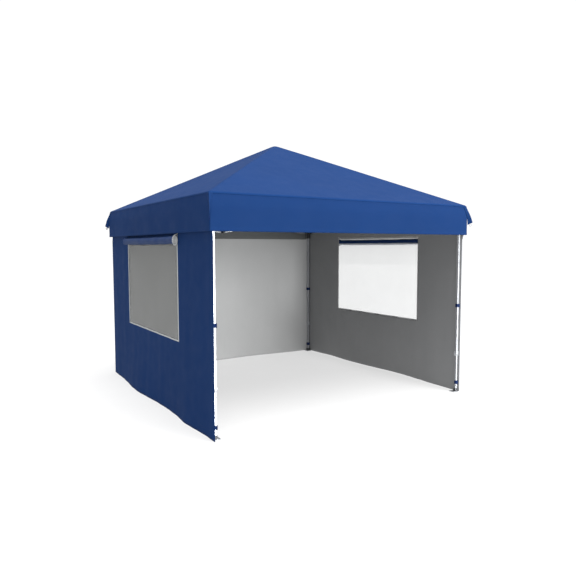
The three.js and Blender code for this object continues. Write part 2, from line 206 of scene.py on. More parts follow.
def join(name, parts):
    bpy.ops.object.select_all(action="DESELECT")
    for o in parts:
        o.select_set(True)
    bpy.context.view_layer.objects.active = parts[0]
    bpy.ops.object.join()
    parts[0].name = name
    parts[0].data.name = name
    return parts[0]


def attach(obj, body, slot, *nodes):
    """Makes a piece ride on a CAD body and hides the CAD nodes it stands for. slot is not used."""
    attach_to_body(obj, body)
    if nodes:
        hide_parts(*nodes)
    return obj


def fold_with(obj):
    """Gives a cloth its own copy of its mesh."""
    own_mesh(obj)


# ---- materials ----
class Nodes:
    """A material's node tree, with short calls for adding and wiring nodes."""

    def __init__(self, name):
        self.mat = bpy.data.materials.new(name)
        self.mat.use_nodes = True
        self.tree = self.mat.node_tree
        self.bsdf = self.tree.nodes["Principled BSDF"]

    def add(self, kind, **settings):
        node = self.tree.nodes.new(kind)
        for key, value in settings.items():
            if hasattr(node, key):
                setattr(node, key, value)
            else:
                node.inputs[key].default_value = value
        return node

    def wire(self, source, target):
        self.tree.links.new(source, target)
        return target

    def set(self, **values):
        for key, value in values.items():
            self.bsdf.inputs[key.replace("_", " ")].default_value = value

    def noise(self, vector, scale, detail=3.0, roughness=0.5):
        node = self.add("ShaderNodeTexNoise", Scale=scale, Detail=detail, Roughness=roughness)
        self.wire(vector, node.inputs["Vector"])
        return node.outputs["Fac"]

    def ramp(self, value, low, high, a, b):
        """Maps low..high of a value to a..b."""
        node = self.add("ShaderNodeMapRange")
        self.wire(value, node.inputs["Value"])
        for key, number in (("From Min", low), ("From Max", high), ("To Min", a), ("To Max", b)):
            node.inputs[key].default_value = number
        return node.outputs["Result"]

    def mix(self, factor, a, b):
        node = self.add("ShaderNodeMix", data_type="RGBA")
        self.wire(factor, node.inputs[0])
        node.inputs[6].default_value = (*a, 1)
        node.inputs[7].default_value = (*b, 1)
        return node.outputs[2]

    def math(self, operation, a, b):
        node = self.add("ShaderNodeMath", operation=operation)
        for k, x in enumerate((a, b)):
            if isinstance(x, (int, float)):
                node.inputs[k].default_value = x
            else:
                self.wire(x, node.inputs[k])
        return node.outputs[0]

    def bump(self, height, distance, strength=1.0, normal=None):
        node = self.add("ShaderNodeBump", Strength=strength, Distance=distance)
        self.wire(height, node.inputs["Height"])
        if normal is not None:
            self.wire(normal, node.inputs["Normal"])
        return node.outputs["Normal"]


def scaled(color, k):
    return tuple(min(1.0, c * k) for c in color)


THREAD = 1400 / (2 * 3.1416)  # bands of the weave along a metre of cloth, in the wave texture's scale
WEAVE = 0.00022
STITCH = 0.0055


def cloth(name, color, rough=0.8, sheen=0.0, crease=0.0009, spec=0.06, stitches=()):
    """Coated polyester: a fine plain weave, soft creases and slow changes of tone. Each stitch line is an
    axis of the UV map, 0 or 1, and its distance along that."""
    m = Nodes(name)
    coords = m.add("ShaderNodeTexCoord")
    obj, uv = coords.outputs["Object"], coords.outputs["UV"]
    slow = m.noise(obj, 1.7, 3)
    tone = m.mix(slow, scaled(color, 0.93), scaled(color, 1.07))
    warp = m.add("ShaderNodeTexWave", bands_direction="X", Scale=THREAD)
    weft = m.add("ShaderNodeTexWave", bands_direction="Y", Scale=THREAD)
    for w in (warp, weft):
        m.wire(uv, w.inputs["Vector"])
    thread_height = m.math("ADD", warp.outputs["Fac"], weft.outputs["Fac"])
    seam = None
    split = m.add("ShaderNodeSeparateXYZ")
    m.wire(uv, split.inputs[0])
    for axis, place in stitches:
        away = m.math("ABSOLUTE", m.math("SUBTRACT", split.outputs[axis], place), 0)
        near = m.math("LESS_THAN", away, 0.0007)
        along = m.math("FRACT", m.math("MULTIPLY", split.outputs[1 - axis], 1 / STITCH), 0)
        dash = m.math("MULTIPLY", near, m.math("LESS_THAN", along, 0.66))
        pucker = m.math("MULTIPLY", m.math("SUBTRACT", 1.0, m.math("DIVIDE", away, 0.006)), -0.6)
        dip = m.math("MINIMUM", m.math("MAXIMUM", m.math("MULTIPLY", pucker, -1), 0), 0.6)
        both = m.math("SUBTRACT", m.math("MULTIPLY", dash, 1.6), dip)
        seam = both if seam is None else m.math("ADD", seam, both)
    if seam is not None:
        lit = m.add("ShaderNodeMix", data_type="RGBA")
        m.wire(m.math("MULTIPLY", m.math("MAXIMUM", seam, 0), 0.5), lit.inputs[0])
        m.wire(tone, lit.inputs[6])
        lit.inputs[7].default_value = (*scaled(color, 1.7), 1)
        tone = lit.outputs[2]
    m.wire(tone, m.bsdf.inputs["Base Color"])
    m.wire(m.ramp(m.noise(obj, 9.0, 4), 0.3, 0.7, rough - 0.06, rough + 0.06), m.bsdf.inputs["Roughness"])
    soft = m.bump(m.noise(obj, 4.5, 2, 0.45), crease * 4, 0.22)
    fine = m.bump(m.noise(obj, 28.0, 3, 0.55), crease, 0.16, soft)
    if seam is not None:
        fine = m.bump(seam, 0.0006, 0.7, fine)
    m.wire(m.bump(thread_height, WEAVE, 0.35, fine), m.bsdf.inputs["Normal"])
    m.set(Sheen_Weight=sheen, Sheen_Roughness=0.45, Specular_IOR_Level=spec)
    return m.mat


def webbing(name, color):
    """Woven tape: cross ribs and a rougher, hairier face than the cloth's."""
    m = Nodes(name)
    coords = m.add("ShaderNodeTexCoord")
    obj = coords.outputs["Object"]
    ribs = m.add("ShaderNodeTexWave", bands_direction="Z", Scale=110.0, Distortion=0.6)
    m.wire(obj, ribs.inputs["Vector"])
    fuzz = m.noise(obj, 900.0, 2)
    tone = m.mix(m.math("MULTIPLY", ribs.outputs["Fac"], fuzz), scaled(color, 0.7), scaled(color, 1.25))
    m.wire(tone, m.bsdf.inputs["Base Color"])
    m.wire(m.bump(m.math("ADD", ribs.outputs["Fac"], fuzz), 0.0005, 0.5), m.bsdf.inputs["Normal"])
    m.wire(m.ramp(fuzz, 0.3, 0.7, 0.8, 0.95), m.bsdf.inputs["Roughness"])
    m.set(Specular_IOR_Level=0.1, Sheen_Weight=0.03)
    return m.mat


def painted(name, color, metallic, rough):
    """Powder-coated steel: orange peel, faint handling marks and slightly worn, brighter edges."""
    m = Nodes(name)
    coords = m.add("ShaderNodeTexCoord")
    obj = coords.outputs["Object"]
    peel = m.noise(obj, 420.0, 2, 0.5)
    marks = m.noise(obj, 16.0, 5, 0.6)
    geometry = m.add("ShaderNodeNewGeometry")
    edge = m.ramp(geometry.outputs["Pointiness"], 0.51, 0.56, 0.0, 0.35)
    base = m.mix(marks, scaled(color, 0.9), scaled(color, 1.06))
    worn = m.add("ShaderNodeMix", data_type="RGBA")
    m.wire(edge, worn.inputs[0])
    m.wire(base, worn.inputs[6])
    worn.inputs[7].default_value = (*scaled(color, 1.25), 1)
    m.wire(worn.outputs[2], m.bsdf.inputs["Base Color"])
    m.wire(m.ramp(marks, 0.3, 0.75, rough - 0.06, rough + 0.14), m.bsdf.inputs["Roughness"])
    m.wire(m.bump(peel, 0.00012, 0.5), m.bsdf.inputs["Normal"])
    m.set(Metallic=metallic)
    return m.mat


def plastic(name, color, rough=0.5):
    """Moulded nylon: a fine spark-eroded grain and rubbed, lighter patches."""
    m = Nodes(name)
    coords = m.add("ShaderNodeTexCoord")
    obj = coords.outputs["Object"]
    grain = m.noise(obj, 1500.0, 2, 0.6)
    rub = m.noise(obj, 30.0, 4, 0.6)
    m.wire(m.mix(rub, scaled(color, 0.85), scaled(color, 1.3)), m.bsdf.inputs["Base Color"])
    m.wire(m.ramp(rub, 0.3, 0.7, rough - 0.08, rough + 0.12), m.bsdf.inputs["Roughness"])
    m.wire(m.bump(grain, 0.00008, 0.6), m.bsdf.inputs["Normal"])
    return m.mat


def window_film(name, color, through, clear_share, tint):
    """PVC window film. clear_share of the light goes straight through, dimmed to tint, and the share called
    through of the rest is spread."""
    m = Nodes(name)
    coords = m.add("ShaderNodeTexCoord")
    obj = coords.outputs["Object"]
    cloud = m.noise(obj, 5.0, 3)
    tone = m.mix(cloud, scaled(color, 0.95), scaled(color, 1.03))
    ripple = m.bump(m.noise(obj, 5.0, 2), 0.004, 0.25)
    m.wire(tone, m.bsdf.inputs["Base Color"])
    m.wire(m.ramp(cloud, 0.3, 0.7, 0.28, 0.4), m.bsdf.inputs["Roughness"])
    m.wire(ripple, m.bsdf.inputs["Normal"])
    spread = m.add("ShaderNodeBsdfTranslucent")
    m.wire(tone, spread.inputs["Color"])
    clear = m.add("ShaderNodeBsdfTransparent", Color=(tint, tint, tint, 1))
    body = m.add("ShaderNodeMixShader", Fac=through)
    m.wire(m.bsdf.outputs[0], body.inputs[1])
    m.wire(spread.outputs[0], body.inputs[2])
    whole = m.add("ShaderNodeMixShader", Fac=clear_share)
    m.wire(body.outputs[0], whole.inputs[1])
    m.wire(clear.outputs[0], whole.inputs[2])
    output = next(n for n in m.tree.nodes if n.type == "OUTPUT_MATERIAL")
    m.wire(whole.outputs[0], output.inputs["Surface"])
    return m.mat


NAVY = (0.0060, 0.0268, 0.101)
# painted shade: the silver coating inside the roof, valance and side walls is a darker copy of BACK_LINING,
# the same coating
SHADED_SIDE_LINING = (0.215, 0.218, 0.222)
BACK_LINING = (0.43, 0.435, 0.435)
# painted light: the roof's cloth is the navy of NAVY made lighter, for the light that falls on the top
ROOF_NAVY_LIT = (0.0062, 0.0300, 0.114)
ROOF_BLUE = cloth("roof_blue", ROOF_NAVY_LIT, sheen=0.02, spec=0.04, stitches=[(0, 0.012), (0, 0.019)])
VALANCE_BLUE = cloth("valance_blue", NAVY, stitches=[(1, 0.020), (1, 0.003)])
WALL_BLUE = cloth("wall_blue", NAVY, stitches=[(1, 0.030), (1, 0.003), (0, 0.022)])
FLAP_BLUE = cloth("flap_blue", NAVY, rough=0.6, spec=0.10, crease=0.0016)
DART_BLUE = cloth("dart_blue", NAVY, stitches=[(0, 0.004)])
SHADED_SILVER = cloth("silver_lining_shaded", SHADED_SIDE_LINING, rough=0.55, spec=0.3)
BACK_SILVER = cloth("back_lining", BACK_LINING, rough=0.55, spec=0.3)
WHITE = cloth("flap_lining", (0.80, 0.81, 0.79), rough=0.55, spec=0.4)
# painted shade: a dark cloth standing in for the band of shade at the top of the back wall
SHADE = cloth("painted_shade_cloth", (0.12, 0.125, 0.125), rough=0.7, stitches=[(1, 0.012)])
BINDING = cloth("pale_binding", (0.46, 0.48, 0.48), rough=0.6, stitches=[(0, 0.003)])
TAPE = webbing("navy_tape", (0.006, 0.020, 0.085))
STEEL = painted("leg_paint", (0.50, 0.515, 0.54), metallic=0.88, rough=0.33)
BAR = painted("bar_paint", (0.46, 0.47, 0.485), metallic=0.88, rough=0.38)
RIVET = painted("rivet_zinc", (0.55, 0.56, 0.57), metallic=0.95, rough=0.28)
BLACK = plastic("black_nylon", (0.030, 0.032, 0.036))
GREY = plastic("lock_nylon", (0.075, 0.078, 0.085), rough=0.42)
# The two windows are one film: the left one's copy is darkened (painted shade) and the right one's brightened
# (painted light)
FILMS = {3: window_film("window_film_shaded", (0.13, 0.135, 0.13), 0.10, 0.58, 0.76),
         1: window_film("window_film_lit", (0.84, 0.85, 0.85), 0.50, 0.68, 0.97)}


# ---- camera, light and floor ----
EYE = (-3.3178, -5.5793, 1.5923)
YAW, PITCH, ROLL = math.radians(32.051), math.radians(-4.213), math.radians(-0.08)
LENS_MM = 34.67125
BACKDROP = 1.05
AMBIENT = 0.74
FRONT_PLACE, FRONT_TARGET, FRONT_SIZE, FRONT_POWER = (3.2, -9.5, 1.9), (0, 0, 1.2), 4.5, 900
TOP_TOWARD, TOP_SPREAD, TOP_POWER = (-0.05, 0.35, -1), 50, 4.6
FLOOR_GLOW, FLOOR_R = 0.60, 45


def camera():
    data = bpy.data.cameras.new("camera")
    data.sensor_width = 36.0
    data.lens = LENS_MM
    data.clip_end = 200
    obj = bpy.data.objects.new("camera", data)
    look = Vector((math.sin(YAW) * math.cos(PITCH), math.cos(YAW) * math.cos(PITCH), math.sin(PITCH)))
    obj.location = EYE
    obj.rotation_mode = "QUATERNION"
    obj.rotation_quaternion = look.to_track_quat("-Z", "Y") @ Matrix.Rotation(ROLL, 3, "Z").to_quaternion()
    bpy.context.scene.collection.objects.link(obj)
    bpy.context.scene.camera = obj


def lamp(name, kind, power, toward, place=(0, 0, 0)):
    data = bpy.data.lights.new(name, kind)
    data.energy = power
    obj = bpy.data.objects.new(name, data)
    obj.location = place
    obj.rotation_mode = "QUATERNION"
    obj.rotation_quaternion = toward.to_track_quat("-Z", "Y")
    bpy.context.scene.collection.objects.link(obj)
    return data


def studio():
    """A white surround, a large soft light at the front right, a soft one above and a glowing floor."""
    scene = bpy.context.scene
    scene.view_settings.view_transform = "Standard"
    scene.view_settings.look = "None"
    world = bpy.data.worlds.new("studio")
    world.use_nodes = True
    nodes, links = world.node_tree.nodes, world.node_tree.links
    path = nodes.new("ShaderNodeLightPath")
    strength = nodes.new("ShaderNodeMapRange")
    strength.inputs["To Min"].default_value = BACKDROP
    strength.inputs["To Max"].default_value = AMBIENT
    links.new(path.outputs["Is Diffuse Ray"], strength.inputs["Value"])
    nodes["Background"].inputs["Color"].default_value = (1, 1, 1, 1)
    links.new(strength.outputs["Result"], nodes["Background"].inputs["Strength"])
    scene.world = world
    front = lamp("front", "AREA", FRONT_POWER, Vector(FRONT_TARGET) - Vector(FRONT_PLACE), FRONT_PLACE)
    front.shape = "DISK"
    front.size = FRONT_SIZE
    lamp("top", "SUN", TOP_POWER, Vector(TOP_TOWARD)).angle = math.radians(TOP_SPREAD)
    n = 64
    angles = [2 * math.pi * k / n for k in range(n)]
    ring = [(FLOOR_R * math.cos(a), FLOOR_R * math.sin(a), -0.001) for a in angles]
    m = Nodes("pale_floor")
    coords = m.add("ShaderNodeTexCoord")
    grain = m.noise(coords.outputs["Object"], 3.0, 3)
    m.wire(m.mix(grain, (0.26, 0.26, 0.26), (0.28, 0.28, 0.28)), m.bsdf.inputs["Base Color"])
    m.set(Roughness=0.8, Specular_IOR_Level=0.0, Emission_Color=(1, 1, 1, 1), Emission_Strength=FLOOR_GLOW)
    floor = build("floor", ring, [tuple(range(n))], [m.mat], smooth=False)


# ---- roof ----
def square_ring(half, radius, steps, straight):
    """The front quarter of a square with round corners, as x, y pairs from its left diagonal to its right."""
    radius = min(radius, half)
    c = half - radius
    pts = []
    for k in range(steps + 1):
        a = math.pi * 1.25 + (math.pi / 4) * k / steps
        pts.append((-c + radius * math.cos(a), -c + radius * math.sin(a)))
    for k in range(1, straight):
        pts.append((-c + 2 * c * k / straight, -half))
    for k in range(steps + 1):
        a = math.pi * 1.5 + (math.pi / 4) * k / steps
        pts.append((c + radius * math.cos(a), -c + radius * math.sin(a)))
    return np.array(pts)


LIP_R = 0.012
LIP_HALF = EAVE + 0.0010
TIP = 0.05  # half-size below which the peak is rounded


def roof_profile():
    """Half-size and height of each ring of the roof's outer face, from the lip under the eave to the peak."""
    angle = math.atan2(1, SLOPE)
    n = (math.cos(angle), math.sin(angle))
    lip_x = LIP_HALF - LIP_R
    lip_z = (n[0] * EAVE + n[1] * EAVE_Z - LIP_R - n[0] * lip_x) / n[1]
    rows = [(LIP_HALF, lip_z - 0.008), (LIP_HALF, lip_z - 0.003)]
    for a in (angle * k / 5 for k in range(6)):
        rows.append((lip_x + LIP_R * math.cos(a), lip_z + LIP_R * math.sin(a)))
    for half in np.concatenate([[EAVE - 0.03], np.linspace(EAVE - 0.06, 0.10, 34), [0.075, 0.06]]):
        rows.append((float(half), EAVE_Z + (EAVE - half) * SLOPE))
    for half in (TIP, 0.04, 0.03, 0.02, 0.011, 0.004):
        rows.append((half, EAVE_Z + (EAVE - TIP) * SLOPE + SLOPE * (TIP * TIP - half * half) / (2 * TIP)))
    return rows


def roof_ring(half, z):
    """One row of a roof panel: it sags between eave and peak, and small pulls run along its hips."""
    soft = 0.016 + 0.012 * smoothstep((0.35 - half) / 0.3)
    ring = square_ring(half - 0.0003, min(soft, 0.8 * half), 5, 60)
    x, y = ring[:, 0], ring[:, 1]
    up = np.clip((EAVE - half) / EAVE, 0, 1)
    across = x / max(half, 1e-6)
    sag = 0.016 * math.sin(math.pi * up) * (1 - across ** 2)
    corner = np.minimum(np.hypot(x - EAVE, y + EAVE), np.hypot(x + EAVE, y + EAVE))
    pull = 0.0012 * np.exp(-((corner - 0.35) / 0.3) ** 2) * np.sin(9 * math.pi * np.abs(across))
    return np.column_stack([x, y, z - sag + pull * smoothstep(up / 0.08)])


def roof_panels():
    for number, side in enumerate(SIDES):
        grid = np.array([roof_ring(half, z) for half, z in roof_profile()])
        panel = thick_sheet(f"roof_cloth_{side}", grid, [ROOF_BLUE, SHADED_SILVER], side=number, mirror=True)
        attach(panel, f"roof_{side}", "roof_fabric", f"roof_{side}")
        fold_with(panel)


# ---- valance ----
# The half of the valance that each side belongs to, and whether its leg is at the side's left or right end.
VALANCE_HALF = {0: ("front_left", -1), 1: ("back_right", 1), 2: ("back_right", -1), 3: ("front_left", 1)}

# How far the valance's hem stands out past the eave at each corner, along X and along Y.
HEM_OUT = {"front_left": (0.002, 0.012), "front_right": (0.0125, 0.012), "back_right": (0.0125, 0.012),
           "back_left": (0.016, 0.012)}


def flare(z):
    """The share of a corner's HEM_OUT reached at a height."""
    return smoothstep((EAVE_Z - z) / 0.13)


def side_corner(number, at_right):
    """A hem corner's offset in its side's own directions: along the side and out of it."""
    x, y = HEM_OUT[CORNERS[(number + 1) % 4 if at_right else number]]
    along, out = (x, y) if number % 2 == 0 else (y, x)
    return (along if at_right else -along), out


def valance():
    hem = np.linspace(VALANCE_LOW, VALANCE_LOW + 0.022, 4)
    zs = np.concatenate([hem, np.linspace(VALANCE_LOW + 0.026, EAVE_Z - 0.014, 18), [EAVE_Z - 0.006]])
    ring = square_ring(EAVE - 0.0004, 0.012, 5, 90)
    s = np.concatenate([[0], np.cumsum(np.linalg.norm(np.diff(ring, axis=0), axis=1))])
    share = (ring[:, 0] + EAVE) / (2 * EAVE)
    fade = smoothstep(np.minimum(s, s[-1] - s) / 0.25)
    doubled = np.where(zs < VALANCE_LOW + 0.024, 0.0009, 0.0)
    for number, side in enumerate(SIDES):
        left_along, left_out = side_corner(number, False)
        right_along, right_out = side_corner(number, True)
        wave = (0.0020 * np.sin(2 * math.pi * s / 0.83 + number)
                + 0.0014 * np.sin(2 * math.pi * s / 0.37 + 2 * number + 1))
        grid = []
        for z in zs:
            low = (EAVE_Z - z) / (EAVE_Z - VALANCE_LOW)
            out = (-wave * low - 0.003 * math.sin(math.pi * low)) * fade
            x = ring[:, 0] + flare(z) * (left_along * (1 - share) + right_along * share)
            y = ring[:, 1] - flare(z) * (left_out * (1 - share) + right_out * share) + out + 0.001
            grid.append(np.column_stack([x, y, np.full(len(ring), z)]))
        cloth_side = thick_sheet(f"valance_cloth_{side}", np.array(grid), [VALANCE_BLUE, SHADED_SILVER], side=number,
                                 extra=np.tile(doubled[:, None], len(ring)), mirror=True)
        corner, end = VALANCE_HALF[number]
        attach(cloth_side, f"outer_leg_{corner}", "roof_fabric", f"valance_{corner}")
        fold_with(cloth_side)


DART_LOW, DART_TIP, DART_HIGH = 1.828, 1.852, 2.030
DART_ROWS = 19
# Where a dart's tip stands from its corner, in the directions of the side to its right.
DART_OUT = (-0.040, -0.040)
DART_TOWARD = {"front_left": (-0.026, -0.056)}


def curve(a, m, b):
    """Eight points of the curve from a to b that m pulls towards itself."""
    return [(1 - u) ** 2 * a + 2 * u * (1 - u) * m + u * u * b for u in (q / 7 for q in range(8))]


def dart_row(t, hem, toward):
    """One level of a dart, t from its top to its low edge: from the left side out to the fold and back."""
    z = DART_HIGH + (DART_LOW - DART_HIGH) * t
    low = DART_HIGH if z > DART_TIP else DART_LOW
    wide = (z - low) / (DART_TIP - low)
    corner = np.array([-EAVE, -EAVE]) + flare(z) * hem - 0.0006
    tip = corner + toward * max(wide, 0.0) ** 1.15 - 0.001
    left = corner + np.array([0, 0.044 * (1 - t) ** 1.5 + 0.0018])
    front = corner + np.array([0.034 * (1 - t) ** 1.5 + 0.0018, 0])
    pinch = 0.55 * min(1.0, 1.6 * t)
    root = corner + 0.12 * (tip - corner)
    pulls = [(tip + end) / 2 + (root - (tip + end) / 2) * pinch for end in (left, front)]
    line = np.array(curve(left, pulls[0], tip) + curve(tip, pulls[1], front)[1:])
    soft = line.copy()
    soft[6:9] = (line[5:8] + 2 * line[6:9] + line[7:10]) / 4
    return [(x, y, z) for x, y in soft]


def darts():
    """The pointed fold of cloth at each corner, with the webbing loop under its tip."""
    for number, corner in enumerate(CORNERS):
        x, y = HEM_OUT[corner]
        outwards = np.array([-x if "left" in corner else x, -y if "front" in corner else y, 0])
        hem = (turn(number).T @ outwards)[:2]
        toward = np.array(DART_TOWARD.get(corner, DART_OUT))
        rows = [dart_row(k / (DART_ROWS - 1), hem, toward) for k in range(DART_ROWS)]
        dart = thick_sheet(f"corner_dart_{corner}", np.array(rows[::-1]), [DART_BLUE, DART_BLUE],
                           thickness=0.0014, side=number, mirror=True)
        attach(dart, f"outer_leg_{corner}", "roof_fabric")
        dart_loop(number, corner, np.array([-EAVE, -EAVE]) + hem, toward)


def dart_loop(number, corner, corner_at, toward):
    """A loop of flat webbing: a rectangle swept along an open ring."""
    out = np.array([*(toward / np.linalg.norm(toward)), 0])
    across = np.array([-out[1], out[0], 0])
    centre = np.array([*(corner_at + toward * 0.45), DART_LOW + 0.010])
    half_wide, half_thick, steps = 0.0045, 0.0008, 16
    loop = []
    for k in range(steps + 1):
        a = math.pi * (0.1 + 1.8 * k / steps) + math.pi / 2
        down = np.array([0, 0, -0.012 + 0.014 * math.sin(a)])
        loop.append(centre + out * (0.004 + 0.009 * math.cos(a)) + down)
    rings = []
    for k, p in enumerate(loop):
        along = loop[min(k + 1, steps)] - loop[max(k - 1, 0)]
        n = np.cross(across, along / np.linalg.norm(along))
        section = ((-1, -1), (1, -1), (1, 1), (-1, 1))
        rings.append([p + across * sx * half_wide + n * sy * half_thick for sx, sy in section])
    web = tube_rings(f"corner_loop_{corner}", rings, [TAPE], side=number, smooth=False)
    attach(web, f"outer_leg_{corner}", "wall_fabric")


# ---- walls ----
WAVE_TOP = 0.67  # height below which a wall's low edge swings out


def wall_wave(x, z):
    """How far a wall hangs outwards at x along it and height z."""
    drop = np.clip((WAVE_TOP - z) / WAVE_TOP, 0, 1)
    broad = np.exp(-(((x + 0.47) / 0.48) ** 2))
    narrow = 0.5 * np.exp(-(((x - 0.93) / 0.23) ** 2))
    return 0.050 * drop ** 1.6 * (broad + narrow)


def wall_drape(x, z, seed):
    """Small soft folds that hang from the top edge."""
    along = 2 * math.pi * x
    folds = 0.0016 * np.sin(along / 0.31 + seed) + 0.0011 * np.sin(along / 0.173 + 2.1 * seed)
    return folds * smoothstep((2.0 - z) / 1.2) * 0.8


def spaced(points, step):
    """Breaks a line at the points given, with steps no longer than that."""
    out = []
    for a, b in zip(points[:-1], points[1:]):
        n = max(1, int(math.ceil((b - a) / step)))
        out += list(np.linspace(a, b, n, endpoint=False))
    return np.array(out + [points[-1]])


# How far each wall reaches from its middle below the valance, at its left and right ends from outside.
WALL_ENDS = {1: (1.476, 1.497), 2: (1.468, 1.468), 3: (1.517, 1.512)}
WALL_LEG = {1: "back_right", 2: "back_left", 3: "front_left"}  # the corner whose leg each wall rides on


def wall_piece(obj, number, *nodes):
    """Makes a piece ride with a wall and gives it its own copy of its mesh."""
    attach(obj, f"outer_leg_{WALL_LEG[number]}", "wall_fabric", *nodes)
    fold_with(obj)


def in_window(x, z):
    return WINDOW_X[0] < x < WINDOW_X[1] and WINDOW_Z[0] < z < WINDOW_Z[1]


def walls():
    """The right, back and left walls, each with a hem, and an opening in those that have a window."""
    for number in (1, 2, 3):
        side = SIDES[number]
        windowed = number != 2
        half = SIDE_WALL if windowed else BACK_WALL
        left, right = WALL_ENDS[number]
        xs = spaced([-half, WINDOW_X[0], WINDOW_X[1], half] if windowed else [-half, half], 0.03)
        zs = spaced([WALL_LOW, WALL_LOW + 0.03, WALL_LOW + 0.034, WINDOW_Z[0], WINDOW_Z[1], WALL_TOP], 0.034)
        x, z = np.meshgrid(xs, zs)
        flat_edge = np.where(z > WAVE_TOP, smoothstep((half - np.abs(x)) / 0.12), 1.0)
        y = -(WALL_IN + FABRIC) - (wall_wave(x, z) + wall_drape(x, z, number)) * flat_edge
        reach = np.where(x < 0, left - half, right - half) * smoothstep((np.abs(x) - 1.2) / (half - 1.2))
        below = smoothstep((VALANCE_LOW + 0.005 - z) / 0.05)
        grid = np.stack([x + np.sign(x) * reach * below, y, z], axis=2)
        hem = (z < WALL_LOW + 0.032) | (np.abs(x) > half - 0.025)
        middle_x, middle_z = (xs[:-1] + xs[1:]) / 2, (zs[:-1] + zs[1:]) / 2

        def hole(r, c):
            return windowed and in_window(middle_x[c], middle_z[r])

        # the side walls' lining is the darker painted-shade copy of the back wall's lining
        wall = thick_sheet(f"wall_cloth_{side}", grid, [WALL_BLUE, SHADED_SILVER if windowed else BACK_SILVER],
                           side=number, hole=hole, extra=np.where(hem, 0.0008, 0.0), mirror=True)
        wall_piece(wall, number, f"wall_{side}")
        if windowed:
            window(number, side)
    painted_shade_band()


def painted_shade_band():
    """A dark sheet hung inside the top of the back wall that paints the shade falling there under the valance.
    """
    half, low, high = 1.425, 1.708, WALL_TOP - 0.01
    x, z = np.meshgrid(np.linspace(-half, half, 60), np.linspace(low, high, 8))
    y = -(WALL_IN - 0.0015) + 0.0012 * np.sin(2 * math.pi * x / 0.45) + 0.004 * smoothstep((1.76 - z) / 0.07)
    band = thick_sheet("painted_shade_band_back", np.stack([x, y, z], axis=2), [SHADE, SHADE], side=2)
    wall_piece(band, 2)


def window(number, side):
    """The pane behind the opening, the strips round the opening and the rolled cover."""
    x0, x1 = WINDOW_X
    z0 = WINDOW_Z[0]
    margin = 0.012
    xs, zs = np.linspace(x0 - margin, x1 + margin, 40), np.linspace(z0 - margin, PANE_TOP, 26)
    x, z = np.meshgrid(xs, zs)
    inside = (np.sin(math.pi * np.clip((x - x0) / (x1 - x0), 0, 1))
              * np.sin(math.pi * np.clip((z - z0) / (WINDOW_Z[1] - z0), 0, 1)))
    y = -(WALL_IN - 0.0002) + 0.0018 * inside * np.sin(6.5 * x + 2.2 * z + number)
    pane = thick_sheet(f"window_pane_{side}", np.stack([x, y, z], axis=2), [FILMS[number]] * 2,
                       thickness=0.0006, side=number)
    wall_piece(pane, number)
    border = join(f"window_border_{side}", window_strips(number, side))
    wall_piece(border, number)
    rolled_flap(number, side)


def window_strips(number, side):
    """Pale strips sewn along the opening's low edge and its two upright ones, each a little domed."""
    (x0, x1), (z0, z1) = WINDOW_X, WINDOW_Z
    width, proud, dome = 0.020, WALL_IN + FABRIC + 0.0008, 0.0012
    places = {"low": (x0 - width, x1 + width, z0 - 0.6 * width, z0),
              "near": (x1, x1 + width, z0, z1 + 0.02),
              "far": (x0 - width, x0, z0, z1 + 0.02)}
    strips = []
    for name, (left, right, low, high) in places.items():
        if name == "low":
            x, z = np.meshgrid(spaced([left, right], 0.03), np.linspace(low, high, 4))
        else:
            x, z = np.meshgrid(np.linspace(left, right, 4), spaced([low, high], 0.03))
        over = (z - low) / (high - low) if name == "low" else (x - left) / (right - left)
        drape = wall_drape(x, z, number) * smoothstep((SIDE_WALL - np.abs(x)) / 0.12)
        y = -(proud + dome * np.sin(math.pi * over)) - drape
        strips.append(thick_sheet(f"window_strip_{name}_{side}", np.stack([x, y, z], axis=2), [BINDING] * 2,
                                  thickness=0.0009, side=number))
    return strips


def rolled_flap(number, side):
    """The window's cover, rolled up with its lining inwards under the valance. Its pale ends spread open a
    little. Rows run along the cloth from its free edge, at the roll's heart, to where it meets the wall."""
    turns, core, steps = 4.0, 0.008, 150
    x0, x1 = ROLL_X
    xs = np.concatenate([np.linspace(x0, x0 + 0.05, 7), np.linspace(x0 + 0.09, x1 - 0.09, 32),
                         np.linspace(x1 - 0.05, x1, 9)])
    cy, cz = -(WALL_IN + FABRIC + 0.8 * ROLL_R + 0.001), ROLL_Z + 0.001
    t = np.linspace(0, 1, steps + 1)[:, None]
    angle = math.pi / 2 - turns * 2 * math.pi * (1 - t)
    near_end = np.exp(-(((x1 - xs[None, :]) / 0.030) ** 2))
    far_end = np.exp(-(((xs[None, :] - x0) / 0.022) ** 2))
    open_out = (0.013 * near_end + 0.007 * far_end) * smoothstep(t / 0.8)
    inward = 0.004 * (1 - t) * (near_end - far_end)
    wobble = 0.0009 * np.sin(9 * xs + 5 * angle) * t + 0.0007 * np.sin(19 * xs + 2.0 + 3 * number)
    radius = core + (ROLL_R - core) * t + wobble
    sag = 0.003 * np.sin(math.pi * (xs - x0) / (x1 - x0))
    grid = np.stack([xs[None, :] - inward, cy - (0.78 * radius + 0.25 * open_out) * np.cos(angle),
                     cz + (1.10 * radius + open_out) * np.sin(angle) - sag], axis=2)
    tail = []
    for rise, share in ((0.006, 0.5), (0.012, 0.88), (0.026, 1.0)):
        row = grid[-1].copy()
        row[:, 1] += (-(WALL_IN + FABRIC + 0.0014) - row[:, 1]) * share
        row[:, 2] = np.minimum(row[:, 2] + rise, VALANCE_LOW + 0.012)
        tail.append(row)
    roll = thick_sheet(f"window_flap_{side}", np.concatenate([grid, np.array(tail)]), [FLAP_BLUE, WHITE],
                       thickness=0.0034, side=number, rim=1)
    wall_piece(roll, number)


# ---- frame ----
RIVET_R = (0.0055, 0.0085)  # the least and the largest radius of a rivet's head
RIVET_HIGH = 0.0045


